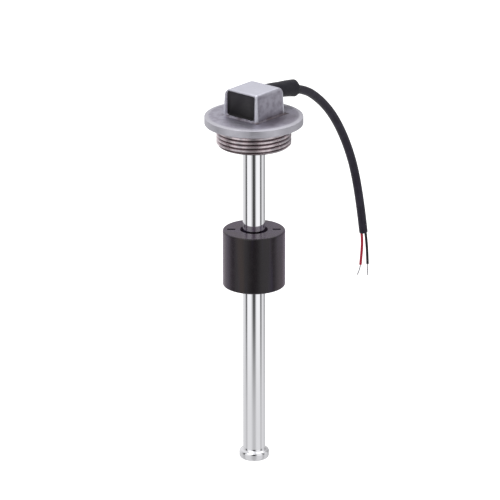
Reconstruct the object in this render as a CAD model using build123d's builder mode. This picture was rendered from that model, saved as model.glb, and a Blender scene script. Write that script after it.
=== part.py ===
"""Water level sensor: a cast plug with a potted cable head, a reed stem and a sliding float.

Millimetres, +Z up. The origin is the centre of the flange's underside, on the thread's axis.
"""
from build123d import *
import math
import os

os.makedirs("parts", exist_ok=True)

# Driving dimensions, in millimetres unless the name says degrees

# Mounting plug: a 1 1/4 inch parallel pipe thread under a round flange
thread_r = 41.91 / 2
thread_length = 12.3
thread_chamfer = 1.2
flange_r = 27.6
flange_edge = 4.2
crown_r = 22.9
crown_height = 5.0
flange_edge_round = 0.3

# Square cable head on the flange, turned to the side that its cable leaves
exit_angle = 50.0
head_base_side = 24.6
head_height = 16.0
head_draft = 2.6
head_edge_round = 1.0
head_far_corner_round = 4.5
head_root_round = 1.0

# Window and potting pocket, open on the side that faces away from the cable
pocket_left_wall = 2.3
pocket_right_wall = 1.2
pocket_top_wall = 1.0
pocket_lip = 1.1
pocket_back_wall = 3.4
pocket_corner_round = 1.2
potting_recess = 0.6

# Stem
stem_r = 6.35
stem_wall = 0.8
stem_length = 200.0
stem_socket_depth = 10.3
wire_passage_r = 3.4
press_gap = 0.02

# End cap
cap_brim_r = 8.5
cap_height = 6.6
cap_shoulder_degrees = 75.0
cap_bottom_round = 1.8
cap_neck_height = 0.4
cap_spigot_length = 5.0

# Float and its magnets
float_r = 17.6
float_height = 32.7
float_top_drop = 62.6
float_edge_round = 0.9
float_guide_gap = 0.8
float_mouth_r = 7.9
float_mouth_depth = 5.0
float_guide_slope = 0.8
magnet_width = 4.5
magnet_thickness = 2.0
magnet_length = 20.0
magnet_centre_r = 12.7
magnet_recess = 2.2

# Reed board, reed switches and resistors inside the stem
board_thickness = 1.0
board_face_offset = 1.0
board_top_drop = 5.0
board_foot_margin = 1.0
board_edge_gap = 0.06
reed_glass_r = 1.1
reed_glass_length = 14.0
reed_glass_wall = 0.35
reed_glass_seal = 2.0
reed_glass_end_round = 0.5
reed_board_gap = 0.05
blade_width = 0.6
blade_thickness = 0.2
blade_contact_gap = 0.06
blade_overlap = 1.2
blade_reach = 2.1
resistor_length = 3.2
resistor_width = 1.6
resistor_height = 0.6
resistor_gap = 0.6

# Cable, its sleeve and its two leads
cable_r = 2.5
sleeve_r = 4.4
sleeve_gap = 0.03
sleeve_bend_degrees = 13.0
sleeve_tip_length = 3.4
sleeve_tip_r = 3.0
inner_wire_r = 0.6
inner_wire_spread = 1.2
inner_wire_bend = 4.0
inner_wire_overlap = 9.0
inner_wire_end_gap = 2.7
lead_r = 0.78
lead_spread = 1.15
lead_tip_r = 0.38
lead_first_run = 4.5
tip_first_run = 2.4

# Route of the cable as (distance from the axis, height) in the upright plane that it leaves in
cable_route = [
    (8.2, 15.85),
    (38.0, 12.9),
    (63.0, -4.5),
    (80.9, -28.9),
    (92.6, -59.5),
    (98.2, -90.8),
]

# Bends of the leads and of their bare tips, each measured from where the piece starts
red_lead_bends = [(0.25, 0.45, -12.5), (-0.45, 0.0, -20.0)]
black_lead_bends = [(1.15, 0.9, -12.5), (1.4, 0.7, -20.0)]
red_tip_bends = [(-1.8, -0.3, -6.2)]
black_tip_bends = [(-0.1, 0.1, -7.1)]

# How near an edge has to be to a place or a radius to be picked by it
pick_margin = 0.01


def tangent_radii(points, share=0.45):
    """Largest tidy radius at each inner point: a share of the shorter run over the half turn's tangent."""
    radii = []
    for before, here, after in zip(points, points[1:], points[2:]):
        run_in = Vector(*here) - Vector(*before)
        run_out = Vector(*after) - Vector(*here)
        half_turn = math.radians(run_in.get_angle(run_out) / 2)
        radii.append(share * min(run_in.length, run_out.length) / math.tan(half_turn))
    return radii


def finish(part, name):
    """Label a piece and write it as its own STEP file."""
    part.label = name
    export_step(part, f"parts/{name}.step")


# Places that several pieces share

exit_dir = Vector(1, 0, 0).rotate(Axis.Z, exit_angle)
side_dir = Vector(0, 1, 0).rotate(Axis.Z, exit_angle)
head_frame = Plane(origin=(0, 0, 0), x_dir=exit_dir, z_dir=(0, 0, 1))
exit_plane = Plane(origin=(0, 0, 0), x_dir=exit_dir, z_dir=-side_dir)

head_base = head_base_side / 2
head_top_z = crown_height + head_height
head_inset = head_height * math.tan(math.radians(head_draft))
head_top = head_base - head_inset
pocket_floor_z = crown_height + pocket_lip
pocket_top_z = head_top_z - pocket_top_wall
pocket_width = 2 * head_top - pocket_left_wall - pocket_right_wall
pocket_side_shift = (pocket_right_wall - pocket_left_wall) / 2
pocket_back_x = head_top - pocket_back_wall
pocket_height = pocket_top_z - pocket_floor_z
pocket_origin = head_frame.from_local_coords(
    (pocket_back_x, pocket_side_shift, (pocket_floor_z + pocket_top_z) / 2)
)
pocket_plane = Plane(origin=pocket_origin, x_dir=side_dir, z_dir=-exit_dir)

stem_inner_r = stem_r - stem_wall
stem_top_z = stem_socket_depth - thread_length
shoulder_top_z = cap_height - stem_length
shoulder_r = (cap_brim_r - stem_r) / (2 - 2 * math.cos(math.radians(cap_shoulder_degrees)))
cap_neck_z = shoulder_top_z + cap_neck_height
spigot_top_z = cap_neck_z + cap_spigot_length

float_top_z = -float_top_drop
float_bottom_z = float_top_z - float_height
float_guide_r = stem_r + float_guide_gap

board_x = board_face_offset
board_half_width = math.sqrt(stem_inner_r**2 - (board_x + board_thickness) ** 2) - board_edge_gap
board_top_z = stem_top_z - board_top_drop
reed_x = board_x - reed_board_gap - reed_glass_r
route_points = [exit_plane.from_local_coords(point) for point in cable_route]
route_radii = tangent_radii(route_points)
route_start = (route_points[1] - route_points[0]).normalized()
route_finish = (route_points[-1] - route_points[-2]).normalized()
first_turn = route_start.get_angle(route_points[2] - route_points[1])
first_corner_cut = route_radii[0] * math.tan(math.radians(first_turn / 2))
sleeve_straight = (route_points[1] - route_points[0]).length - first_corner_cut
cable_start = Plane(origin=route_points[0], x_dir=side_dir, z_dir=route_start)
cable_end_x = Vector(1, 0, 0) - route_finish * route_finish.X
cable_end = Plane(origin=route_points[-1], x_dir=cable_end_x, z_dir=route_finish)
inner_wire_x = board_x - inner_wire_r
inner_wire_run = (cable_route[0][0] - inner_wire_x) / route_start.dot(exit_dir)
inner_wire_corner = route_points[0] - route_start * inner_wire_run
inner_wire_end_z = board_top_z - inner_wire_overlap

reed_half_span = reed_glass_length / 2 + blade_reach
reed_pitch = 2 * (reed_half_span + resistor_gap) + resistor_width
first_reed_z = inner_wire_end_z - inner_wire_end_gap - resistor_width / 2 - reed_pitch / 2
reed_room = first_reed_z - reed_half_span - board_foot_margin - spigot_top_z
reed_heights = [first_reed_z - i * reed_pitch for i in range(int(reed_room / reed_pitch) + 1)]


# Square block of the cable head, drafted like a casting, its far top corner rounded most

with BuildPart() as head_block:
    with BuildSketch(head_frame.offset(crown_height)):
        Rectangle(head_base_side, head_base_side)
    with BuildSketch(head_frame.offset(head_top_z)):
        Rectangle(2 * head_top, 2 * head_top)
    loft(ruled=True)
    far_corner = head_frame.from_local_coords((head_top, head_top, head_top_z))
    far_edges = head_block.edges().filter_by(lambda e: e.distance_to(Vertex(*far_corner)) < pick_margin)
    fillet(far_edges, radius=head_far_corner_round)
    upper_edges = head_block.edges().filter_by(lambda e: e.center().Z > crown_height + head_edge_round)
    near_edges = upper_edges.filter_by(
        lambda e: min(e.center().dot(exit_dir), e.center().dot(side_dir)) < -head_top / 2
    )
    fillet(near_edges, radius=head_edge_round)

# Mounting plug: flange, thread blank and head are one casting

with BuildPart() as mounting_plug:
    with BuildSketch(Plane.XZ):
        with BuildLine():
            Polyline(
                (0, crown_height),
                (crown_r, crown_height),
                (flange_r, flange_edge),
                (flange_r, 0),
                (thread_r, 0),
                (thread_r, thread_chamfer - thread_length),
                (thread_r - thread_chamfer, -thread_length),
                (0, -thread_length),
                close=True,
            )
        make_face()
    revolve(axis=Axis.Z)
    circles = mounting_plug.edges().filter_by(GeomType.CIRCLE)
    fillet(circles.filter_by(lambda e: e.radius > flange_r - pick_margin), radius=flange_edge_round)
    add(head_block.part)
    at_crown = mounting_plug.edges().filter_by(lambda e: abs(e.center().Z - crown_height) < pick_margin)
    fillet(at_crown.filter_by(lambda e: e.length < head_base_side), radius=head_root_round)

    # Potting pocket, cut from the window towards the cable
    with BuildSketch(pocket_plane):
        RectangleRounded(pocket_width, pocket_height, pocket_corner_round)
    extrude(amount=head_base_side, mode=Mode.SUBTRACT)

    # Socket for the stem, and the wire passage from it up into the pocket
    with BuildSketch(Plane.XY.offset(-thread_length)):
        Circle(stem_r + press_gap)
    extrude(amount=stem_socket_depth, mode=Mode.SUBTRACT)
    with BuildSketch(Plane.XY.offset(stem_top_z)):
        Circle(wire_passage_r)
    extrude(amount=pocket_floor_z - stem_top_z, mode=Mode.SUBTRACT)

    # Hole in the back wall, along the way the cable leaves
    with BuildSketch(cable_start.offset(-pocket_back_wall)):
        Circle(sleeve_r + press_gap)
    extrude(amount=3 * pocket_back_wall, mode=Mode.SUBTRACT)

finish(mounting_plug.part, "mounting_plug")

# Inner wires, from the cable's end through the pocket and down to the board

inner_wires = {}
for wire_name, side in (("red", -1), ("black", 1)):
    with BuildPart() as inner_wire:
        with BuildLine(exit_plane.offset(side * inner_wire_spread)) as wire_path:
            FilletPolyline(
                cable_route[0],
                (inner_wire_x, inner_wire_corner.Z),
                (inner_wire_x, inner_wire_end_z),
                radius=inner_wire_bend,
            )
        with BuildSketch(Plane(origin=wire_path.line @ 0, z_dir=wire_path.line % 0)):
            Circle(inner_wire_r)
        sweep()
    inner_wires[wire_name] = inner_wire.part
    finish(inner_wire.part, f"inner_{wire_name}_wire")

# Potting compound that fills the pocket around the two inner wires

with BuildPart() as head_potting:
    with BuildSketch(pocket_plane):
        RectangleRounded(pocket_width, pocket_height, pocket_corner_round)
    extrude(amount=pocket_back_x + head_base - potting_recess)
    with BuildSketch(pocket_plane.offset(pocket_back_x + head_base - potting_recess)):
        Rectangle(2 * head_base_side, 2 * head_base_side)
    extrude(amount=head_base_side, mode=Mode.SUBTRACT)
    with BuildSketch(cable_start):
        Circle(sleeve_r + press_gap)
    extrude(amount=pocket_back_wall, mode=Mode.SUBTRACT)
    for wire in inner_wires.values():
        add(wire, mode=Mode.SUBTRACT)

finish(head_potting.part, "head_potting")

# Stem tube

with BuildPart() as stem_tube:
    with BuildSketch(Plane.XY.offset(cap_neck_z)):
        Circle(stem_r)
        Circle(stem_inner_r, mode=Mode.SUBTRACT)
    extrude(amount=stem_top_z - cap_neck_z)

finish(stem_tube.part, "stem_tube")

# End cap: a turned foot that swells from the tube to its brim, with a spigot inside the tube

with BuildPart() as end_cap:
    with BuildSketch(Plane.XZ):
        with BuildLine():
            hollow = JernArc((stem_r, shoulder_top_z), (0, -1), shoulder_r, cap_shoulder_degrees)
            swell = JernArc(hollow @ 1, hollow % 1, shoulder_r, -cap_shoulder_degrees)
            brim = Line(swell @ 1, (cap_brim_r, cap_bottom_round - stem_length))
            foot = JernArc(brim @ 1, (0, -1), cap_bottom_round, -90)
            Polyline(
                foot @ 1,
                (0, -stem_length),
                (0, spigot_top_z),
                (stem_inner_r - press_gap, spigot_top_z),
                (stem_inner_r - press_gap, cap_neck_z),
                (stem_r, cap_neck_z),
                (stem_r, shoulder_top_z),
            )
        make_face()
    revolve(axis=Axis.Z)

finish(end_cap.part, "end_cap")

# Float with a guide land in its bore and two open slots for its magnets

with BuildPart() as float_body:
    with BuildSketch(Plane.XZ):
        with BuildLine():
            Polyline(
                (float_guide_r, float_top_z - float_mouth_depth),
                (float_mouth_r, float_top_z - float_mouth_depth + float_guide_slope),
                (float_mouth_r, float_top_z),
                (float_r, float_top_z),
                (float_r, float_bottom_z),
                (float_mouth_r, float_bottom_z),
                (float_mouth_r, float_bottom_z + float_mouth_depth - float_guide_slope),
                (float_guide_r, float_bottom_z + float_mouth_depth),
                close=True,
            )
        make_face()
    revolve(axis=Axis.Z)
    circles = float_body.edges().filter_by(GeomType.CIRCLE)
    fillet(circles.filter_by(lambda e: e.radius > float_r - pick_margin), radius=float_edge_round)
    with BuildSketch(Plane.XY.offset(float_top_z)):
        with Locations((-magnet_centre_r, 0), (magnet_centre_r, 0)):
            Rectangle(magnet_width, magnet_thickness)
    extrude(amount=-(magnet_recess + magnet_length), mode=Mode.SUBTRACT)

finish(float_body.part, "float_body")

for magnet_name, side in (("left", -1), ("right", 1)):
    with BuildPart() as float_magnet:
        with BuildSketch(Plane.XY.offset(float_top_z - magnet_recess)):
            with Locations((side * magnet_centre_r, 0)):
                Rectangle(magnet_width, magnet_thickness)
        extrude(amount=-magnet_length)
    finish(float_magnet.part, f"float_magnet_{magnet_name}")

# Reed board inside the stem, standing on the end cap's spigot

with BuildPart() as reed_board:
    with BuildSketch(head_frame.offset(spigot_top_z)):
        with Locations((board_x + board_thickness / 2, 0)):
            Rectangle(board_thickness, 2 * board_half_width)
    extrude(amount=board_top_z - spigot_top_z)

finish(reed_board.part, "reed_board")

# Reed switches: two overlapping blades sealed in a glass capsule, their feet on the board

for number, height in enumerate(reed_heights, start=1):
    with BuildPart() as reed_blades:
        for end in (1, -1):
            blade_x = reed_x + end * (blade_contact_gap + blade_thickness) / 2
            tip_z = height - end * blade_overlap / 2
            foot_z = height + end * reed_half_span
            with BuildSketch(exit_plane):
                with BuildLine():
                    Polyline(
                        (blade_x - blade_thickness / 2, tip_z),
                        (blade_x + blade_thickness / 2, tip_z),
                        (blade_x + blade_thickness / 2, foot_z - end * blade_thickness),
                        (board_x, foot_z - end * blade_thickness),
                        (board_x, foot_z),
                        (blade_x - blade_thickness / 2, foot_z),
                        close=True,
                    )
                make_face()
            extrude(amount=blade_width / 2, both=True)
    finish(reed_blades.part, f"reed_blades_{number}")

    with BuildPart() as reed_glass:
        with BuildSketch(exit_plane):
            with Locations((reed_x + reed_glass_r / 2, height)):
                capsule = Rectangle(reed_glass_r, reed_glass_length)
            fillet(capsule.vertices().group_by(Axis((0, 0, 0), exit_dir))[-1], radius=reed_glass_end_round)
            with Locations((reed_x + (reed_glass_r - reed_glass_wall) / 2, height)):
                Rectangle(
                    reed_glass_r - reed_glass_wall,
                    reed_glass_length - 2 * reed_glass_seal,
                    mode=Mode.SUBTRACT,
                )
        revolve(axis=Axis(exit_dir * reed_x, (0, 0, 1)))
        add(reed_blades.part, mode=Mode.SUBTRACT)
    finish(reed_glass.part, f"reed_glass_{number}")

    with BuildPart() as resistor:
        with BuildSketch(head_frame.offset(height + reed_pitch / 2 - resistor_width / 2)):
            with Locations((board_x - resistor_height / 2, 0)):
                Rectangle(resistor_height, resistor_length)
        extrude(amount=resistor_width)
    finish(resistor.part, f"resistor_{number}")

# Cable: one plain tube from inside the back wall to the end of its jacket

with BuildPart() as cable:
    with BuildLine(exit_plane) as route:
        FilletPolyline(*cable_route, radius=route_radii)
    with BuildSketch(Plane(origin=route.line @ 0, z_dir=route.line % 0)):
        Circle(cable_r)
    sweep()

finish(cable.part, "cable")
print("cable radii", [round(r, 1) for r in route_radii])
print("cable length", round(route.wire().length, 2))
print("volume over section times length", cable.part.volume / (math.pi * cable_r**2 * route.wire().length))

# Sleeve shrunk over the first stretch of the cable, with a tapered tip

with BuildPart() as cable_sleeve:
    with BuildLine(exit_plane) as sleeve_path:
        start_slope = (route_start.dot(exit_dir), route_start.Z)
        straight = PolarLine(cable_route[0], sleeve_straight, direction=start_slope)
        JernArc(straight @ 1, straight % 1, route_radii[0], -sleeve_bend_degrees)
    with BuildSketch(Plane(origin=sleeve_path.line @ 0, z_dir=sleeve_path.line % 0)):
        Circle(sleeve_r)
    sweep()
    tip_plane = Plane(origin=sleeve_path.line @ 1, z_dir=sleeve_path.line % 1)
    with BuildSketch(tip_plane):
        Circle(sleeve_r)
    with BuildSketch(tip_plane.offset(sleeve_tip_length)):
        Circle(sleeve_tip_r)
    loft()
    with BuildLine(exit_plane) as bore_path:
        FilletPolyline(*cable_route[:4], radius=route_radii[:2])
    with BuildSketch(Plane(origin=bore_path.line @ 0, z_dir=bore_path.line % 0)):
        Circle(cable_r + sleeve_gap)
    sweep(mode=Mode.SUBTRACT)

finish(cable_sleeve.part, "cable_sleeve")

# Two insulated leads from the cable's end, each with a bare tinned tip

for lead_name, side, bends, tip_bends in (
    ("red", -1, red_lead_bends, red_tip_bends),
    ("black", 1, black_lead_bends, black_tip_bends),
):
    start = cable_end.from_local_coords((side * lead_spread, 0, 0))
    lead_points = [start, start + cable_end.z_dir * lead_first_run] + [start + Vector(*b) for b in bends]
    with BuildPart() as lead:
        with BuildLine() as lead_path:
            FilletPolyline(*lead_points, radius=tangent_radii(lead_points))
        with BuildSketch(Plane(origin=lead_path.line @ 0, z_dir=lead_path.line % 0)):
            Circle(lead_r)
        sweep()
    finish(lead.part, f"{lead_name}_lead")

    tip_start = lead_path.line @ 1
    tip_points = [tip_start, tip_start + (lead_path.line % 1) * tip_first_run]
    tip_points += [tip_start + Vector(*b) for b in tip_bends]
    with BuildPart() as lead_tip:
        with BuildLine() as tip_path:
            FilletPolyline(*tip_points, radius=tangent_radii(tip_points))
        with BuildSketch(Plane(origin=tip_path.line @ 0, z_dir=tip_path.line % 0)):
            Circle(lead_tip_r)
        sweep()
    finish(lead_tip.part, f"{lead_name}_lead_tip")
    print(lead_name, "lead length", round(lead_path.wire().length, 2))
    print(lead_name, "tip length", round(tip_path.wire().length, 2))
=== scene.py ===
import math

import bmesh
import bpy
from mathutils import Matrix, Vector


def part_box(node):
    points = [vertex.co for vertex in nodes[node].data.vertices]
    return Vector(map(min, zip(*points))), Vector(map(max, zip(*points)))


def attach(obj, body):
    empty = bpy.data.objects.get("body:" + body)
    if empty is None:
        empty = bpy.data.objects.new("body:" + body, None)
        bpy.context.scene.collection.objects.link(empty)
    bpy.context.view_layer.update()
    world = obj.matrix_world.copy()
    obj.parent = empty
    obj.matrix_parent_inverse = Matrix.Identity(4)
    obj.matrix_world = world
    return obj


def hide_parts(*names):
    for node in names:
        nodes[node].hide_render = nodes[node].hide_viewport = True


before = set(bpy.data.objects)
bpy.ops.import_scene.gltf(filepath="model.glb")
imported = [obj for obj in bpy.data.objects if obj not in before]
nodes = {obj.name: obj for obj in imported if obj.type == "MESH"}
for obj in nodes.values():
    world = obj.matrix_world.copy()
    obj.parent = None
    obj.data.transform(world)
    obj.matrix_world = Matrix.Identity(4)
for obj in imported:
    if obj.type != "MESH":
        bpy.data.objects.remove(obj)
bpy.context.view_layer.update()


# Camera: a long lens about 2.7 m away, looking a little down on the flange, where the photograph was
# taken from. It comes first, so that the cable after it can be checked against its view.
camera_distance = 2.5626
camera_height = 0.8436
camera_pitch = math.radians(19.72)
camera_yaw = math.radians(-0.05)
camera_roll = math.radians(0.08)
camera_lens = 349.35
camera_film = 36
camera_reach = 20

look = Vector((
    math.sin(camera_yaw) * math.cos(camera_pitch),
    math.cos(camera_yaw) * math.cos(camera_pitch),
    -math.sin(camera_pitch),
))
camera_data = bpy.data.cameras.new("camera")
camera_data.lens = camera_lens
camera_data.sensor_width = camera_film
camera_data.clip_end = camera_reach
camera = bpy.data.objects.new("camera", camera_data)
camera.matrix_world = (
    Matrix.Translation((0, -camera_distance, camera_height))
    @ look.to_track_quat("-Z", "Y").to_matrix().to_4x4()
    @ Matrix.Rotation(-camera_roll, 4, "Z")
)
bpy.context.collection.objects.link(camera)
bpy.context.scene.camera = camera
bpy.context.scene.view_settings.view_transform = "Standard"


# Grain: the fine roughness that casting, moulding and drawing leave in a surface. It is one effect at
# two sizes, and every finish on this sensor has it at its own scale and depth.
broad_to_fine = 0.12
grain_low = 0.7
grain_high = 1.3


def add_node(tree, kind, operation=None, inputs=None):
    """A new node in a material or a group, with the values of the inputs that nothing feeds."""
    node = tree.nodes.new(kind)
    if operation:
        node.operation = operation
    for socket, value in (inputs or {}).items():
        node.inputs[socket].default_value = value
    return node


def connect(tree, *pairs):
    """Link the first of each pair, an output, to the second, an input."""
    for source, target in pairs:
        tree.links.new(source, target)


grain = bpy.data.node_groups.new("surface_grain", "ShaderNodeTree")
grain.interface.new_socket("Vector", in_out="INPUT", socket_type="NodeSocketVector")
for socket_name, value in (("Scale", 1000.0), ("Depth", 0.0001), ("Smooth", 0.3), ("Rough", 0.5)):
    socket = grain.interface.new_socket(socket_name, in_out="INPUT", socket_type="NodeSocketFloat")
    socket.default_value = value
for socket_name in ("Roughness", "Mask"):
    grain.interface.new_socket(socket_name, in_out="OUTPUT", socket_type="NodeSocketFloat")
grain.interface.new_socket("Normal", in_out="OUTPUT", socket_type="NodeSocketVector")
grain_in = add_node(grain, "NodeGroupInput")
grain_out = add_node(grain, "NodeGroupOutput")
fine = add_node(grain, "ShaderNodeTexNoise", inputs={"Detail": 3})
broad = add_node(grain, "ShaderNodeTexNoise", inputs={"Detail": 2})
broad_scale = add_node(grain, "ShaderNodeMath", "MULTIPLY", {1: broad_to_fine})
both = add_node(grain, "ShaderNodeMath", "ADD")
level = add_node(grain, "ShaderNodeMapRange", inputs={"From Min": grain_low, "From Max": grain_high})
bump = add_node(grain, "ShaderNodeBump", inputs={"Strength": 1.0})
connect(
    grain,
    (grain_in.outputs["Vector"], fine.inputs["Vector"]),
    (grain_in.outputs["Vector"], broad.inputs["Vector"]),
    (grain_in.outputs["Scale"], fine.inputs["Scale"]),
    (grain_in.outputs["Scale"], broad_scale.inputs[0]),
    (broad_scale.outputs[0], broad.inputs["Scale"]),
    (fine.outputs["Fac"], both.inputs[0]),
    (broad.outputs["Fac"], both.inputs[1]),
    (both.outputs[0], level.inputs["Value"]),
    (grain_in.outputs["Smooth"], level.inputs["To Min"]),
    (grain_in.outputs["Rough"], level.inputs["To Max"]),
    (level.outputs["Result"], grain_out.inputs["Roughness"]),
    (broad.outputs["Fac"], grain_out.inputs["Mask"]),
    (both.outputs[0], bump.inputs["Height"]),
    (grain_in.outputs["Depth"], bump.inputs["Distance"]),
    (bump.outputs["Normal"], grain_out.inputs["Normal"]),
)


# Cable: a round two-core cable with a soft black jacket of PVC. It leaves the back of the head nearly
# level and hangs down behind the flange in one upright plane, cut square at its end.
exit_angle = math.radians(50.0)
exit_dir = Vector((math.cos(exit_angle), math.sin(exit_angle), 0))
side_dir = Vector((-math.sin(exit_angle), math.cos(exit_angle), 0))
cable_radius = 0.0025
cable_route = [
    exit_dir * reach + Vector((0, 0, height))
    for reach, height in (
        (0.0082, 0.01585),
        (0.0381, 0.0132),
        (0.0634, -0.0041),
        (0.0810, -0.0288),
        (0.0931, -0.0595),
        (0.0982, -0.0908),
    )
]
jacket_black = (0.0110, 0.0096, 0.0175, 1)
jacket_scuffed = (0.022, 0.020, 0.033, 1)
jacket_gleam = (0.92, 0.84, 1.0, 1)


def finish_of(name, colour, smooth, rough, scale, depth, metallic=0.0, specular=0.5, stretch=(1, 1, 1)):
    """A material with its own colour, metal or not, and the grain group set to its scale and depth."""
    material = bpy.data.materials.new(name)
    material.use_nodes = True
    tree = material.node_tree
    shader = tree.nodes["Principled BSDF"]
    shader.inputs["Base Color"].default_value = colour
    shader.inputs["Metallic"].default_value = metallic
    shader.inputs["Specular IOR Level"].default_value = specular
    place = add_node(tree, "ShaderNodeTexCoord")
    mapping = add_node(tree, "ShaderNodeMapping", inputs={"Scale": stretch})
    surface = add_node(tree, "ShaderNodeGroup")
    surface.name = "grain"
    surface.node_tree = grain
    surface.inputs["Scale"].default_value = scale
    surface.inputs["Depth"].default_value = depth
    surface.inputs["Smooth"].default_value = smooth
    surface.inputs["Rough"].default_value = rough
    connect(
        tree,
        (place.outputs["Object"], mapping.inputs["Vector"]),
        (mapping.outputs["Vector"], surface.inputs["Vector"]),
        (surface.outputs["Roughness"], shader.inputs["Roughness"]),
        (surface.outputs["Normal"], shader.inputs["Normal"]),
    )
    return material


def tint(material, other, low, high, source=None):
    """Shift a material's colour towards another one where its broad grain, or a source, runs high."""
    tree = material.node_tree
    shader = tree.nodes["Principled BSDF"]
    strength = add_node(tree, "ShaderNodeMapRange", inputs={"From Min": low, "From Max": high})
    mix = add_node(tree, "ShaderNodeMix")
    mix.data_type = "RGBA"
    before = shader.inputs["Base Color"].links
    if before:
        tree.links.new(before[0].from_socket, mix.inputs["A"])
    else:
        mix.inputs["A"].default_value = shader.inputs["Base Color"].default_value
    mix.inputs["B"].default_value = other
    connect(
        tree,
        (source or tree.nodes["grain"].outputs["Mask"], strength.inputs["Value"]),
        (strength.outputs["Result"], mix.inputs["Factor"]),
        (mix.outputs["Result"], shader.inputs["Base Color"]),
    )


def smooth_line(name, route, radius=0.0):
    """A smooth curve with the points of a route as its control points, round where it has a radius."""
    curve = bpy.data.curves.new(name, "CURVE")
    curve.dimensions = "3D"
    curve.resolution_u = 24
    curve.bevel_depth = radius
    curve.bevel_resolution = 8
    curve.use_fill_caps = True
    spline = curve.splines.new("NURBS")
    spline.points.add(len(route) - 1)
    for point, place in zip(spline.points, route):
        point.co = (*place, 1)
    spline.order_u = 3
    spline.use_endpoint_u = True
    line = bpy.data.objects.new(name, curve)
    bpy.context.collection.objects.link(line)
    return line


jacket = finish_of(
    "jacket_pvc", jacket_black, smooth=0.26, rough=0.4, scale=2200, depth=0.00003, specular=0.36
)
tint(jacket, jacket_scuffed, low=0.45, high=0.7)
jacket.node_tree.nodes["Principled BSDF"].inputs["Specular Tint"].default_value = jacket_gleam
cable = smooth_line("cable_jacket", cable_route, cable_radius)
cable.data.materials.append(jacket)
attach(cable, "sensor_body")
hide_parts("cable")


# Leads: one red and one black wire with smooth insulation, stripped for a few millimetres. The bare
# ends are seven tinned strands each, twisted together by hand and not quite the same length.
lead_radius = 0.00078
red_route = [
    (0.061979, 0.075243, -0.090929),
    (0.062489, 0.075850, -0.095359),
    (0.062229, 0.075693, -0.103429),
    (0.061529, 0.075243, -0.110929),
]
red_tip_route = [
    red_route[-1],
    (0.061307, 0.075100, -0.113314),
    (0.059729, 0.074943, -0.117129),
]
black_route = [
    (0.064264, 0.075208, -0.090671),
    (0.064774, 0.075815, -0.095101),
    (0.065414, 0.076108, -0.103171),
    (0.065664, 0.075908, -0.110671),
]
black_tip_route = [
    black_route[-1],
    (0.065744, 0.075844, -0.113069),
    (0.065564, 0.076008, -0.117771),
]
outer_strands = 6
strand_radius = 0.00013
strand_sides = 8
strand_ring = 0.00025
strand_turns = 1.4
strand_steps = 36
strand_root = 0.0006
strand_shortfall = 0.03
tinned_colour = (0.56, 0.55, 0.58, 1)
red_colour = (0.47, 0.012, 0.04, 1)
black_colour = (0.012, 0.012, 0.014, 1)
crease_angle = math.radians(35)


def put(name, bm, body, material, replaced):
    """Turn a finished bmesh into a piece on its body, smooth but for edges sharper than an angle."""
    mesh = bpy.data.meshes.new(name)
    bm.to_mesh(mesh)
    bm.free()
    mesh.shade_smooth()
    mesh.set_sharp_from_angle(angle=crease_angle)
    mesh.materials.append(material)
    piece = bpy.data.objects.new(name, mesh)
    bpy.context.collection.objects.link(piece)
    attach(piece, body)
    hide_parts(replaced)
    return piece


def read_line(route):
    """Places along the smooth line of a route, read from its curve, which is then thrown away."""
    line = smooth_line("guide", route)
    mesh = bpy.data.meshes.new_from_object(line)
    places = [vert.co.copy() for vert in mesh.vertices]
    bpy.data.meshes.remove(mesh)
    bpy.data.curves.remove(line.data)
    return places


def bend_onto(bm, places, across):
    """Lay a shape that stands on +Z along a line: its height is the distance along, its Y points up."""
    distances = [0.0]
    for here, there in zip(places, places[1:]):
        distances.append(distances[-1] + (there - here).length)
    for vert in bm.verts:
        along = vert.co.z
        i = max(0, min(len(places) - 2, sum(d <= along for d in distances) - 1))
        forward = (places[i + 1] - places[i]).normalized()
        ahead = places[min(i + 2, len(places) - 1)] - places[min(i + 1, len(places) - 2)]
        share = (along - distances[i]) / (distances[i + 1] - distances[i])
        forward = forward.lerp(ahead.normalized(), max(0.0, min(1.0, share))).normalized()
        sideways = (across - forward * across.dot(forward)).normalized()
        centre = places[i].lerp(places[i + 1], share)
        vert.co = centre + sideways * vert.co.x + sideways.cross(forward) * -vert.co.y


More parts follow.
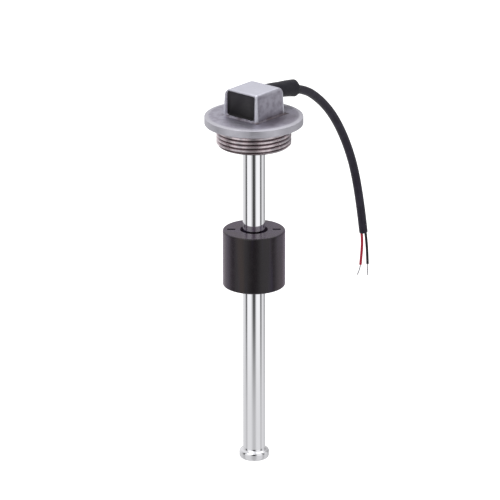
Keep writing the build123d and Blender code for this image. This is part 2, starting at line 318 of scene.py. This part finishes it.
tinned = finish_of(
    "tinned_strands", tinned_colour, smooth=0.35, rough=0.55, scale=3000, depth=0.00002, metallic=1.0
)
red_insulation = finish_of(
    "red_insulation", red_colour, smooth=0.3, rough=0.42, scale=1500, depth=0.00002, specular=0.35
)
black_insulation = finish_of(
    "black_insulation", black_colour, smooth=0.3, rough=0.42, scale=1500, depth=0.00002, specular=0.3
)
on_cable = []
for colour_name, route, tip_route, insulation in (
    ("red", red_route, red_tip_route, red_insulation),
    ("black", black_route, black_tip_route, black_insulation),
):
    lead = smooth_line(f"{colour_name}_lead_wire", route, lead_radius)
    lead.data.materials.append(insulation)
    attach(lead, "sensor_body")
    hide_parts(f"{colour_name}_lead")

    places = read_line(tip_route)
    tip_length = sum((there - here).length for here, there in zip(places, places[1:]))
    tip_bm = bmesh.new()
    for strand in range(outer_strands + 1):
        angle = strand * math.tau / outer_strands
        ring = strand_ring if strand else 0.0
        run = tip_length * (1 - strand_shortfall * (strand % 3)) + strand_root
        centre = Matrix.Translation((ring * math.cos(angle), ring * math.sin(angle), -strand_root))
        start = bmesh.ops.create_circle(
            tip_bm, segments=strand_sides, radius=strand_radius, matrix=centre
        )["verts"]
        bmesh.ops.spin(
            tip_bm,
            geom=start + list({edge for vert in start for edge in vert.link_edges}),
            cent=(0, 0, 0),
            axis=(0, 0, 1),
            dvec=(0, 0, run / strand_steps),
            angle=strand_turns * math.tau,
            steps=strand_steps,
        )
    bmesh.ops.holes_fill(tip_bm, edges=[edge for edge in tip_bm.edges if edge.is_boundary])
    bmesh.ops.recalc_face_normals(tip_bm, faces=tip_bm.faces)
    bend_onto(tip_bm, places, Vector((1, 0, 0)))
    tip_name = f"{colour_name}_lead_strands"
    put(tip_name, tip_bm, "sensor_body", tinned, replaced=f"{colour_name}_lead_tip")
    on_cable += [lead.name, tip_name]


# Cable sleeve: a short black tube shrunk on where the cable leaves the head. Its end was cut a little
# aslant and is pulled in around the cable with a few shallow puckers.
sleeve_radius = 0.0044
sleeve_bore = 0.00253
outside_from = 1.02 * sleeve_bore
sleeve_mouth = 0.0029
sleeve_length = 0.0300
sleeve_neck = 0.0034
sleeve_sides = 56
straight_steps = 18
neck_steps = 8
slant = 0.0011
slant_onset = 6
bulge = 0.0010
bulge_start = 0.014
pucker_count = 7
pucker_depth = 0.00012
sleeve_black = (0.0125, 0.0122, 0.0205, 1)
sleeve_faded = (0.022, 0.0215, 0.029, 1)
sleeve = finish_of(
    "shrunk_sleeve", sleeve_black, smooth=0.36, rough=0.52, scale=1400, depth=0.00006, specular=0.22
)
tint(sleeve, sleeve_faded, low=0.45, high=0.7)

neck_start = sleeve_length - sleeve_neck
sleeve_profile = [(sleeve_bore, 0.0)]
sleeve_profile += [(sleeve_radius, neck_start * i / straight_steps) for i in range(straight_steps + 1)]
for i in range(1, neck_steps + 1):
    ease = 0.5 - 0.5 * math.cos(math.pi * i / neck_steps)
    pulled_in = sleeve_radius + (sleeve_mouth - sleeve_radius) * ease
    sleeve_profile.append((pulled_in, neck_start + sleeve_neck * i / neck_steps))
sleeve_profile += [
    (sleeve_bore, sleeve_length - sleeve_length * i / straight_steps) for i in range(straight_steps)
]

# The sleeve's wall is turned round its axis, puckered and cut aslant while straight, and then bent
sleeve_bm = bmesh.new()
sleeve_verts = [sleeve_bm.verts.new((radius, 0, height)) for radius, height in sleeve_profile]
sleeve_edges = [
    sleeve_bm.edges.new(pair) for pair in zip(sleeve_verts, sleeve_verts[1:] + sleeve_verts[:1])
]
bmesh.ops.spin(
    sleeve_bm,
    geom=sleeve_verts + sleeve_edges,
    cent=(0, 0, 0),
    axis=(0, 0, 1),
    angle=math.tau,
    steps=sleeve_sides,
    use_merge=True,
)
bmesh.ops.recalc_face_normals(sleeve_bm, faces=sleeve_bm.faces)
for vert in sleeve_bm.verts:
    bearing_round = math.atan2(vert.co.y, vert.co.x)
    pull = max(0.0, (vert.co.z - neck_start) / sleeve_neck)
    if vert.co.xy.length > outside_from:
        pucker = pucker_depth * math.cos(pucker_count * bearing_round) * 4 * pull * (1 - pull)
        vert.co.xy *= 1 + pucker / vert.co.xy.length
        swell = max(0.0, min(1.0, (vert.co.z - bulge_start) / (neck_start - bulge_start)))
        vert.co.y += bulge * swell * (1 - pull) * (0.5 + 0.5 * math.sin(bearing_round))
    nearness = max(0.0, vert.co.z / sleeve_length) ** slant_onset
    vert.co.z -= slant * nearness * vert.co.y / sleeve_radius
bend_onto(sleeve_bm, read_line(cable_route), side_dir)
put("shrunk_sleeve", sleeve_bm, "sensor_body", sleeve, replaced="cable_sleeve")


# Mounting plug: flange and square head, cast in one piece in an aluminium alloy. The skin is left as
# cast, greyish with a trace of violet, paler where it is rubbed, and brown in the corner at the foot
# with dirt and painted shade.
plug_foot, plug_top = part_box("mounting_plug")
head_half = 0.0123
head_top_z = plug_top.z
crown_z = 0.005
cast_grey = (0.47, 0.455, 0.53, 1)
cast_mottled = (0.37, 0.35, 0.415, 1)
cast_rubbed = (0.70, 0.70, 0.78, 1)
rubbed_band = (head_top_z - 0.0022, head_top_z + 0.0003)
cast_dark_patch = (0.20, 0.18, 0.215, 1)
dark_patch_band = (0.0185, 0.008)
dark_patch_raggedness = 0.012
dark_patch_squeeze = Vector((0.5, 1.2, 3))
dark_patch_middle = Vector((0, -0.017, crown_z))
cast_rim = (0.58, 0.57, 0.625, 1)
rim_band = (0.0246, 0.0258)
# Painted shade and dirt for the corner at the head's foot
cast_shade_and_dirt = (0.135, 0.110, 0.125, 1)
shade_and_dirt_band = (0.0004, 0.0021)
shade_and_dirt_patch = 0.0044
shade_and_dirt_lean = 0.04
# Wear and a painted highlight on the head's upright corners
cast_worn_highlight = (0.82, 0.82, 0.90, 1)
worn_highlight_band = (head_half - 0.0021, head_half - 0.0010)
worn_highlight_above_foot = 0.0025
cast_skin = finish_of(
    "cast_aluminium", cast_grey, smooth=0.4, rough=0.6, scale=2600, depth=0.00004, metallic=1.0
)
tint(cast_skin, cast_mottled, low=0.42, high=0.66)

# The head's top is rubbed pale
cast_tree = cast_skin.node_tree
cast_place = cast_tree.nodes["Texture Coordinate"].outputs["Object"]
heights = add_node(cast_tree, "ShaderNodeSeparateXYZ")
connect(cast_tree, (cast_place, heights.inputs["Vector"]))
tint(cast_skin, cast_rubbed, *rubbed_band, source=heights.outputs["Z"])

# A dull darker patch on the flange, long and narrow beside the head's side, up which it hardly climbs
turned = add_node(cast_tree, "ShaderNodeMapping", inputs={"Rotation": (0, 0, -exit_angle)})
dark_patch_place = add_node(cast_tree, "ShaderNodeVectorMath", "MULTIPLY", {1: dark_patch_squeeze})
dark_patch_gap = add_node(cast_tree, "ShaderNodeVectorMath", "DISTANCE", {1: dark_patch_middle * dark_patch_squeeze})
dark_patch_cloud = add_node(cast_tree, "ShaderNodeTexNoise", inputs={"Scale": 160, "Detail": 4})
dark_patch_ragged = add_node(cast_tree, "ShaderNodeMath", "MULTIPLY_ADD", {1: dark_patch_raggedness})
connect(
    cast_tree,
    (cast_place, turned.inputs["Vector"]),
    (turned.outputs["Vector"], dark_patch_place.inputs[0]),
    (dark_patch_place.outputs["Vector"], dark_patch_gap.inputs[0]),
    (cast_place, dark_patch_cloud.inputs["Vector"]),
    (dark_patch_cloud.outputs["Fac"], dark_patch_ragged.inputs[0]),
    (dark_patch_gap.outputs["Value"], dark_patch_ragged.inputs[2]),
)
tint(cast_skin, cast_dark_patch, *dark_patch_band, source=dark_patch_ragged.outputs[0])

# The flange's rim is rubbed clean of the darker patch
cast_flat = add_node(cast_tree, "ShaderNodeVectorMath", "MULTIPLY", {1: (1, 1, 0)})
cast_reach = add_node(cast_tree, "ShaderNodeVectorMath", "LENGTH")
connect(
    cast_tree,
    (cast_place, cast_flat.inputs[0]),
    (cast_flat.outputs["Vector"], cast_reach.inputs[0]),
)
tint(cast_skin, cast_rim, *rim_band, source=cast_reach.outputs["Value"])

# Painted shade and dirt darken the corner between the head's foot and the flange, in patches, and hardly
# any of it lies under the window
head_corner = (head_half, head_half, crown_z)
outward = add_node(cast_tree, "ShaderNodeVectorMath", "ABSOLUTE")
from_foot = add_node(cast_tree, "ShaderNodeVectorMath", "SUBTRACT", {1: head_corner})
beyond_foot = add_node(cast_tree, "ShaderNodeVectorMath", "MAXIMUM", {1: (0, 0, 0)})
foot_gap = add_node(cast_tree, "ShaderNodeVectorMath", "LENGTH")
patches = add_node(cast_tree, "ShaderNodeTexNoise", inputs={"Scale": 210, "Detail": 4})
patch_spread = add_node(cast_tree, "ShaderNodeMath", "MULTIPLY", {1: shade_and_dirt_patch})
shade_and_dirt_anywhere = add_node(cast_tree, "ShaderNodeMath", "SUBTRACT")
turned_parts = add_node(cast_tree, "ShaderNodeSeparateXYZ")
shade_and_dirt = add_node(cast_tree, "ShaderNodeMath", "MULTIPLY_ADD", {1: shade_and_dirt_lean})
connect(
    cast_tree,
    (turned.outputs["Vector"], outward.inputs[0]),
    (outward.outputs["Vector"], from_foot.inputs[0]),
    (from_foot.outputs["Vector"], beyond_foot.inputs[0]),
    (beyond_foot.outputs["Vector"], foot_gap.inputs[0]),
    (cast_place, patches.inputs["Vector"]),
    (patches.outputs["Fac"], patch_spread.inputs[0]),
    (patch_spread.outputs[0], shade_and_dirt_anywhere.inputs[0]),
    (foot_gap.outputs["Value"], shade_and_dirt_anywhere.inputs[1]),
    (turned.outputs["Vector"], turned_parts.inputs["Vector"]),
    (turned_parts.outputs["X"], shade_and_dirt.inputs[0]),
    (shade_and_dirt_anywhere.outputs[0], shade_and_dirt.inputs[2]),
)
tint(cast_skin, cast_shade_and_dirt, *shade_and_dirt_band, source=shade_and_dirt.outputs[0])

# The head's upright corners are worn bright, with a painted highlight, from a little above its foot
outward_parts = add_node(cast_tree, "ShaderNodeSeparateXYZ")
both_sides = add_node(cast_tree, "ShaderNodeMath", "MINIMUM")
above_foot = add_node(cast_tree, "ShaderNodeMath", "ADD", {1: head_half - crown_z - worn_highlight_above_foot})
worn_highlight_corner = add_node(cast_tree, "ShaderNodeMath", "MINIMUM")
connect(
    cast_tree,
    (outward.outputs["Vector"], outward_parts.inputs["Vector"]),
    (outward_parts.outputs["X"], both_sides.inputs[0]),
    (outward_parts.outputs["Y"], both_sides.inputs[1]),
    (heights.outputs["Z"], above_foot.inputs[0]),
    (both_sides.outputs[0], worn_highlight_corner.inputs[0]),
    (above_foot.outputs[0], worn_highlight_corner.inputs[1]),
)
tint(cast_skin, cast_worn_highlight, *worn_highlight_band, source=worn_highlight_corner.outputs[0])

# The casting is the plug's CAD shape, cut off at the flange's underside, where the thread begins
weld = 1e-6
plug_bm = bmesh.new()
plug_bm.from_mesh(nodes["mounting_plug"].data)
bmesh.ops.remove_doubles(plug_bm, verts=plug_bm.verts, dist=weld)
bmesh.ops.bisect_plane(
    plug_bm,
    geom=plug_bm.verts[:] + plug_bm.edges[:] + plug_bm.faces[:],
    dist=weld,
    plane_co=(0, 0, 0),
    plane_no=(0, 0, 1),
    clear_inner=True,
)
open_edges = [edge for edge in plug_bm.edges if edge.is_boundary]
bmesh.ops.triangle_fill(plug_bm, edges=open_edges, use_beauty=True)
bmesh.ops.recalc_face_normals(plug_bm, faces=plug_bm.faces)
put("plug_casting", plug_bm, "sensor_body", cast_skin, replaced="mounting_plug")


# Plug thread: a pipe thread with eleven turns to the inch, cut on a lathe below the flange. Its crests
# are left broad, its roots narrow, its start chamfered, and the stem is pressed into its bore.
thread_pitch = 0.0254 / 11
thread_depth = 0.0011
thread_radius = 0.020955
thread_length = -plug_foot.z
thread_chamfer = 0.0012
flank_steepness = 1.5
crest_breadth = 0.55
bore_radius = 0.00637
thread_steps = 192
points_per_pitch = 14
thread_pale = (0.72, 0.63, 0.66, 1)
thread_dull = (0.50, 0.465, 0.495, 1)
thread_root_shade = (0.16, 0.12, 0.13, 1)
root_shade_band = (thread_radius - 0.45 * thread_depth, thread_radius - 0.9 * thread_depth)

thread_metal = finish_of(
    "cut_thread", thread_pale, smooth=0.26, rough=0.42, scale=1800, depth=0.00003, metallic=1.0
)
tint(thread_metal, thread_dull, low=0.44, high=0.62)
# The roots are darkened brownish towards the axis: painted shade in the thread's grooves
thread_tree = thread_metal.node_tree
thread_place = thread_tree.nodes["Texture Coordinate"].outputs["Object"]
thread_flat = add_node(thread_tree, "ShaderNodeVectorMath", "MULTIPLY", {1: (1, 1, 0)})
from_axis = add_node(thread_tree, "ShaderNodeVectorMath", "LENGTH")
connect(
    thread_tree,
    (thread_place, thread_flat.inputs[0]),
    (thread_flat.outputs["Vector"], from_axis.inputs[0]),
)
tint(thread_metal, thread_root_shade, *root_shade_band, source=from_axis.outputs["Value"])

# A line down the thread's side is turned round the axis and rises by one pitch on its way
turns = math.ceil(thread_length / thread_pitch) + 2
thread_bm = bmesh.new()
thread_verts = []
for i in range(turns * points_per_pitch + 1):
    share = i / points_per_pitch
    height = thread_pitch - share * thread_pitch
    wave = math.cos(2 * math.pi * share)
    steep = max(-1.0, min(1.0, wave * flank_steepness + crest_breadth))
    swing = math.sin(steep * math.pi / 2) * 0.5 + 0.5
    thread_verts.append(thread_bm.verts.new((thread_radius - thread_depth * (1 - swing), 0, height)))
thread_edges = [thread_bm.edges.new(pair) for pair in zip(thread_verts, thread_verts[1:])]
bmesh.ops.spin(
    thread_bm,
    geom=thread_verts + thread_edges,
    cent=(0, 0, 0),
    axis=(0, 0, 1),
    dvec=(0, 0, thread_pitch / thread_steps),
    angle=math.tau,
    steps=thread_steps,
)
bmesh.ops.remove_doubles(thread_bm, verts=thread_bm.verts, dist=weld)

# Both ends are cut level, the lower one is chamfered, and the bore joins them
for level_z, keep_above in ((0.0, False), (-thread_length, True)):
    bmesh.ops.bisect_plane(
        thread_bm,
        geom=thread_bm.verts[:] + thread_bm.edges[:] + thread_bm.faces[:],
        dist=weld,
        plane_co=(0, 0, level_z),
        plane_no=(0, 0, 1),
        clear_outer=not keep_above,
        clear_inner=keep_above,
    )
chamfer_top = thread_chamfer - thread_length
for vert in thread_bm.verts:
    limit = thread_radius - max(0.0, chamfer_top - vert.co.z)
    radius = vert.co.xy.length
    if radius > limit:
        vert.co.xy *= limit / radius
for rim_z in (0.0, -thread_length):
    rim = [
        edge for edge in thread_bm.edges
        if edge.is_boundary and abs(edge.verts[0].co.z - rim_z) < weld
    ]
    for made in bmesh.ops.extrude_edge_only(thread_bm, edges=rim)["geom"]:
        if isinstance(made, bmesh.types.BMVert):
            made.co.xy *= bore_radius / made.co.xy.length
bore_edges = [edge for edge in thread_bm.edges if edge.is_boundary]
top_ring = [edge for edge in bore_edges if abs(edge.verts[0].co.z) < weld]
bottom_ring = [edge for edge in bore_edges if abs(edge.verts[0].co.z) >= weld]
bmesh.ops.bridge_loops(thread_bm, edges=top_ring + bottom_ring)
bmesh.ops.recalc_face_normals(thread_bm, faces=thread_bm.faces)
put("plug_thread", thread_bm, "sensor_body", thread_metal, replaced="mounting_plug")


# Potting: black resin poured into the head over the wires, set back a little from the window's frame. It
# is satin from its cure, greyer towards its top, and shrank away from the frame into a sloping rim.
resin_face = 0.0117
near_face = 0.9 * resin_face
rim_width = 0.0010
rim_sink = 0.0013
square_on = 0.999
resin_black = (0.0085, 0.0075, 0.0092, 1)
resin_grey = (0.054, 0.050, 0.059, 1)
resin_band = (0.007, head_top_z)
resin = finish_of(
    "potting_resin", resin_black, smooth=0.3, rough=0.42, scale=500, depth=0.00003, specular=0.2
)
resin_tree = resin.node_tree
resin_place = resin_tree.nodes["Texture Coordinate"].outputs["Object"]
resin_heights = add_node(resin_tree, "ShaderNodeSeparateXYZ")
connect(resin_tree, (resin_place, resin_heights.inputs["Vector"]))
tint(resin, resin_grey, *resin_band, source=resin_heights.outputs["Z"])

# The face in the window is joined into one, inset, and its edge sunk by the rim's depth
resin_bm = bmesh.new()
resin_bm.from_mesh(nodes["head_potting"].data)
bmesh.ops.remove_doubles(resin_bm, verts=resin_bm.verts, dist=weld)
front_faces = [
    face for face in resin_bm.faces
    if face.normal.dot(exit_dir) < -square_on
    and face.calc_center_median().dot(exit_dir) < -near_face
]
bmesh.ops.dissolve_faces(resin_bm, faces=front_faces)
front = max(resin_bm.faces, key=lambda face: -face.normal.dot(exit_dir) * face.calc_area())
window_edge = list(front.verts)
bmesh.ops.inset_region(resin_bm, faces=[front], thickness=rim_width, use_even_offset=True)
bmesh.ops.translate(resin_bm, verts=window_edge, vec=exit_dir * rim_sink)
resin_piece = put("head_resin", resin_bm, "sensor_body", resin, replaced="head_potting")
# The normals that came with the CAD shape don't fit the new rim
resin_piece.data.attributes.remove(resin_piece.data.attributes["custom_normal"])


# Stem and end cap: a drawn stainless tube and a turned foot pressed into its end, both polished
# bright. The tube keeps faint lines along its length, and the cap faint lines round it.
tube_bright = (0.92, 0.92, 0.95, 1)
cap_bright = (0.84, 0.84, 0.87, 1)
lines_along = (1, 1, 0.04)
lines_round = (1, 1, 8)


def dress(node, material):
    """Give a CAD piece that keeps its own shape its finish."""
    mesh = nodes[node].data
    mesh.materials.clear()
    mesh.materials.append(material)


tube_steel = finish_of(
    "polished_tube",
    tube_bright,
    smooth=0.04,
    rough=0.1,
    scale=900,
    depth=0.000008,
    metallic=1.0,
    stretch=lines_along,
)
cap_steel = finish_of(
    "polished_cap",
    cap_bright,
    smooth=0.1,
    rough=0.2,
    scale=500,
    depth=0.00001,
    metallic=1.0,
    stretch=lines_round,
)
dress("stem_tube", tube_steel)
dress("end_cap", cap_steel)


# Float: a ring moulded from dense black rubber foam with a closed skin, faintly streaked up its side. It
# slides on the stem and carries two ferrite bars in slots in its top.
float_black = (0.0064, 0.0050, 0.0052, 1)
float_mottled = (0.0105, 0.0082, 0.0090, 1)
float_brown = (0.022, 0.0125, 0.008, 1)
float_blue = (0.0185, 0.014, 0.031, 1)
float_sheen = (0.93, 0.66, 1.0, 1)
streak_length = (1, 1, 0.06)
ferrite_black = (0.02, 0.02, 0.023, 1)
rubber = finish_of(
    "float_rubber", float_black, smooth=0.22, rough=0.30, scale=2400, depth=0.00003, specular=0.37
)
rubber_tree = rubber.node_tree
rubber_shader = rubber_tree.nodes["Principled BSDF"]
rubber_shader.inputs["Sheen Weight"].default_value = 0.26
rubber_shader.inputs["Sheen Roughness"].default_value = 0.5
rubber_shader.inputs["Sheen Tint"].default_value = float_sheen
tint(rubber, float_mottled, low=0.45, high=0.75)
for colour, offset, low, high in ((float_brown, 0.0, 0.5, 0.68), (float_blue, 3.7, 0.48, 0.64)):
    upright = add_node(
        rubber_tree, "ShaderNodeMapping", inputs={"Location": (offset, 0, 0), "Scale": streak_length}
    )
    streaks = add_node(rubber_tree, "ShaderNodeTexNoise", inputs={"Scale": 130, "Detail": 3})
    connect(
        rubber_tree,
        (rubber_tree.nodes["Texture Coordinate"].outputs["Object"], upright.inputs["Vector"]),
        (upright.outputs["Vector"], streaks.inputs["Vector"]),
    )
    tint(rubber, colour, low, high, source=streaks.outputs["Fac"])
ferrite = finish_of(
    "ferrite", ferrite_black, smooth=0.5, rough=0.7, scale=3000, depth=0.00006, specular=0.2
)
dress("float_body", rubber)
dress("float_magnet_left", ferrite)
dress("float_magnet_right", ferrite)


# Inside of the stem: a green board with its chip resistors and glass reed switches, and the two
# wires that run to it through the potting.
board_colour = (0.01, 0.09, 0.04, 1)
glass_colour = (0.8, 0.9, 0.84, 1)
blade_colour = (0.62, 0.58, 0.5, 1)
chip_colour = (0.02, 0.02, 0.022, 1)
lacquer = finish_of("board_lacquer", board_colour, smooth=0.25, rough=0.4, scale=1200, depth=0.00003)
glass = finish_of("reed_glass", glass_colour, smooth=0.02, rough=0.06, scale=800, depth=0.000004)
glass.node_tree.nodes["Principled BSDF"].inputs["Transmission Weight"].default_value = 1.0
blade_metal = finish_of(
    "plated_blade", blade_colour, smooth=0.2, rough=0.35, scale=2500, depth=0.00001, metallic=1.0
)
chip = finish_of("chip_ceramic", chip_colour, smooth=0.35, rough=0.5, scale=3000, depth=0.00002)
dress("reed_board", lacquer)
dress("inner_red_wire", red_insulation)
dress("inner_black_wire", black_insulation)
for name in nodes:
    for start, material in (("reed_glass", glass), ("reed_blades", blade_metal), ("resistor", chip)):
        if name.startswith(start):
            dress(name, material)


# Studio: a pale floor well below the sensor, a white room, and soft light from above. What polished
# metal reflects has soft dark stripes in it, as the unlit gaps between a studio's panels leave.
floor_height = -0.35
floor_radius = 4.0
floor_pale = (0.85, 0.85, 0.85, 1)
floor_lift = 0.7
near_reach = 0.42
far_reach = 0.70
near_glow = 0.52
near_pattern = 0.24
ceiling_glow = 0.85
ceiling_start = 0.45
ceiling_full = 0.9
soft_fill = 0.62
room_stripes = (
    (-180, 0.60),
    (-160, 0.92),
    (-120, 0.80),
    (-96, 0.58),
    (-88, 0.10),
    (-78, 0.08),
    (-70, 0.90),
    (-62, 1.0),
    (-32, 0.97),
    (-19, 0.50),
    (-8, 0.06),
    (8, 0.06),
    (17, 0.50),
    (26, 0.98),
    (54, 1.0),
    (63, 0.86),
    (70, 0.08),
    (78, 0.08),
    (87, 0.74),
    (104, 0.82),
    (122, 0.42),
    (180, 0.60),
)

# The stripes stand upright round the sensor, each at its bearing in degrees
stripes = bpy.data.node_groups.new("room_stripes", "ShaderNodeTree")
stripes.interface.new_socket("Vector", in_out="INPUT", socket_type="NodeSocketVector")
stripes.interface.new_socket("Value", in_out="OUTPUT", socket_type="NodeSocketFloat")
stripes_in = add_node(stripes, "NodeGroupInput")
stripes_out = add_node(stripes, "NodeGroupOutput")
split = add_node(stripes, "ShaderNodeSeparateXYZ")
towards = add_node(stripes, "ShaderNodeMath", "MULTIPLY", {1: -1})
bearing = add_node(stripes, "ShaderNodeMath", "ARCTAN2")
turn = add_node(stripes, "ShaderNodeMapRange", inputs={"From Min": -math.pi, "From Max": math.pi})
ramp = add_node(stripes, "ShaderNodeValToRGB")
ramp.color_ramp.interpolation = "EASE"
for degrees, _ in room_stripes[1:-1]:
    ramp.color_ramp.elements.new((degrees + 180) / 360)
for element, (_, value) in zip(ramp.color_ramp.elements, room_stripes):
    element.color = (value, value, value, 1)
connect(
    stripes,
    (stripes_in.outputs["Vector"], split.inputs["Vector"]),
    (split.outputs["Y"], towards.inputs[0]),
    (split.outputs["X"], bearing.inputs[0]),
    (towards.outputs[0], bearing.inputs[1]),
    (bearing.outputs[0], turn.inputs["Value"]),
    (turn.outputs["Result"], ramp.inputs["Fac"]),
    (ramp.outputs["Color"], stripes_out.inputs["Value"]),
)

# The room is white where the camera sees it, striped in reflections, with a glowing ceiling, and
# gives an even soft light
world = bpy.data.worlds.new("studio")
bpy.context.scene.world = world
world.use_nodes = True
world.cycles.sampling_method = "NONE"
sky = world.node_tree
background = sky.nodes["Background"]
background.inputs["Color"].default_value = (1, 1, 1, 1)
paths = add_node(sky, "ShaderNodeLightPath")
direction = add_node(sky, "ShaderNodeTexCoord")
room = add_node(sky, "ShaderNodeGroup")
room.node_tree = stripes
upward = add_node(sky, "ShaderNodeSeparateXYZ")
rise = add_node(sky, "ShaderNodeMapRange", inputs={"From Min": ceiling_start, "From Max": ceiling_full})
rise.interpolation_type = "SMOOTHSTEP"
overhead = add_node(sky, "ShaderNodeMix")
seen = add_node(sky, "ShaderNodeMix")
shown = add_node(sky, "ShaderNodeMix")
for blend, socket, value in (
    (overhead, "B", ceiling_glow),
    (seen, "A", soft_fill),
    (shown, "B", 1.0),
):
    blend.data_type = "FLOAT"
    blend.inputs[socket].default_value = value
mirrored = add_node(sky, "ShaderNodeMath", "MAXIMUM")
connect(
    sky,
    (direction.outputs["Generated"], room.inputs["Vector"]),
    (direction.outputs["Generated"], upward.inputs["Vector"]),
    (upward.outputs["Z"], rise.inputs["Value"]),
    (rise.outputs["Result"], overhead.inputs["Factor"]),
    (room.outputs["Value"], overhead.inputs["A"]),
    (overhead.outputs["Result"], seen.inputs["B"]),
    (paths.outputs["Is Glossy Ray"], mirrored.inputs[0]),
    (paths.outputs["Is Transmission Ray"], mirrored.inputs[1]),
    (mirrored.outputs[0], seen.inputs["Factor"]),
    (seen.outputs["Result"], shown.inputs["A"]),
    (paths.outputs["Is Camera Ray"], shown.inputs["Factor"]),
    (shown.outputs["Result"], background.inputs["Strength"]),
)

# The floor is matt and pale, and in reflections it shows the room's stripes, softer near the sensor
floor_bm = bmesh.new()
bmesh.ops.create_circle(floor_bm, cap_ends=True, segments=96, radius=floor_radius)
bmesh.ops.translate(floor_bm, verts=floor_bm.verts, vec=(0, 0, floor_height))
floor_mesh = bpy.data.meshes.new("floor")
floor_bm.to_mesh(floor_mesh)
floor_bm.free()
floor = bpy.data.objects.new("floor", floor_mesh)
bpy.context.collection.objects.link(floor)
paint = bpy.data.materials.new("pale_floor")
paint.use_nodes = True
paint.cycles.emission_sampling = "NONE"
floor_tree = paint.node_tree
floor_tree.nodes.remove(floor_tree.nodes["Principled BSDF"])
output = floor_tree.nodes["Material Output"]
floor_place = add_node(floor_tree, "ShaderNodeTexCoord").outputs["Object"]
floor_room = add_node(floor_tree, "ShaderNodeGroup")
floor_room.node_tree = stripes
floor_paths = add_node(floor_tree, "ShaderNodeLightPath")
level_out = add_node(floor_tree, "ShaderNodeVectorMath", "MULTIPLY", {1: (1, 1, 0)})
reach_out = add_node(floor_tree, "ShaderNodeVectorMath", "LENGTH")
fade = add_node(floor_tree, "ShaderNodeMapRange", inputs={"From Min": near_reach, "From Max": far_reach})
fade.interpolation_type = "SMOOTHSTEP"
near = add_node(floor_tree, "ShaderNodeMath", "MULTIPLY_ADD", {1: near_pattern, 2: near_glow})
reflected = add_node(floor_tree, "ShaderNodeMix")
reflected.data_type = "FLOAT"
mirror_glow = add_node(floor_tree, "ShaderNodeEmission")
matte = add_node(floor_tree, "ShaderNodeBsdfDiffuse", inputs={"Color": floor_pale})
lift = add_node(floor_tree, "ShaderNodeEmission")
lift_strength = add_node(floor_tree, "ShaderNodeMath", "MULTIPLY", {1: floor_lift})
lit = add_node(floor_tree, "ShaderNodeAddShader")
choose = add_node(floor_tree, "ShaderNodeMixShader")
connect(
    floor_tree,
    (floor_place, floor_room.inputs["Vector"]),
    (floor_place, level_out.inputs[0]),
    (level_out.outputs["Vector"], reach_out.inputs[0]),
    (reach_out.outputs["Value"], fade.inputs["Value"]),
    (floor_room.outputs["Value"], near.inputs[0]),
    (near.outputs[0], reflected.inputs["A"]),
    (fade.outputs["Result"], reflected.inputs["Factor"]),
    (floor_room.outputs["Value"], reflected.inputs["B"]),
    (reflected.outputs["Result"], mirror_glow.inputs["Strength"]),
    (floor_paths.outputs["Is Camera Ray"], lift_strength.inputs[0]),
    (lift_strength.outputs[0], lift.inputs["Strength"]),
    (matte.outputs["BSDF"], lit.inputs[0]),
    (lift.outputs["Emission"], lit.inputs[1]),
    (floor_paths.outputs["Is Glossy Ray"], choose.inputs["Fac"]),
    (lit.outputs["Shader"], choose.inputs[1]),
    (mirror_glow.outputs["Emission"], choose.inputs[2]),
    (choose.outputs["Shader"], output.inputs["Surface"]),
)
floor_mesh.materials.append(paint)

# Two large soft lamps hang over the sensor, the brighter one in front and to its left
lamp_aim = Vector((0, 0, -0.05))
for lamp_name, place, width, power in (
    ("key_panel", Vector((-0.95, -1.1, 2.1)), 2.0, 13),
    ("top_panel", Vector((0.3, 0.6, 1.9)), 1.8, 11),
):
    lamp_data = bpy.data.lights.new(lamp_name, "AREA")
    lamp_data.shape = "SQUARE"
    lamp_data.size = width
    lamp_data.energy = power
    lamp = bpy.data.objects.new(lamp_name, lamp_data)
    lamp.location = place
    lamp.rotation_euler = (lamp_aim - place).to_track_quat("-Z", "Y").to_euler()
    bpy.context.collection.objects.link(lamp)
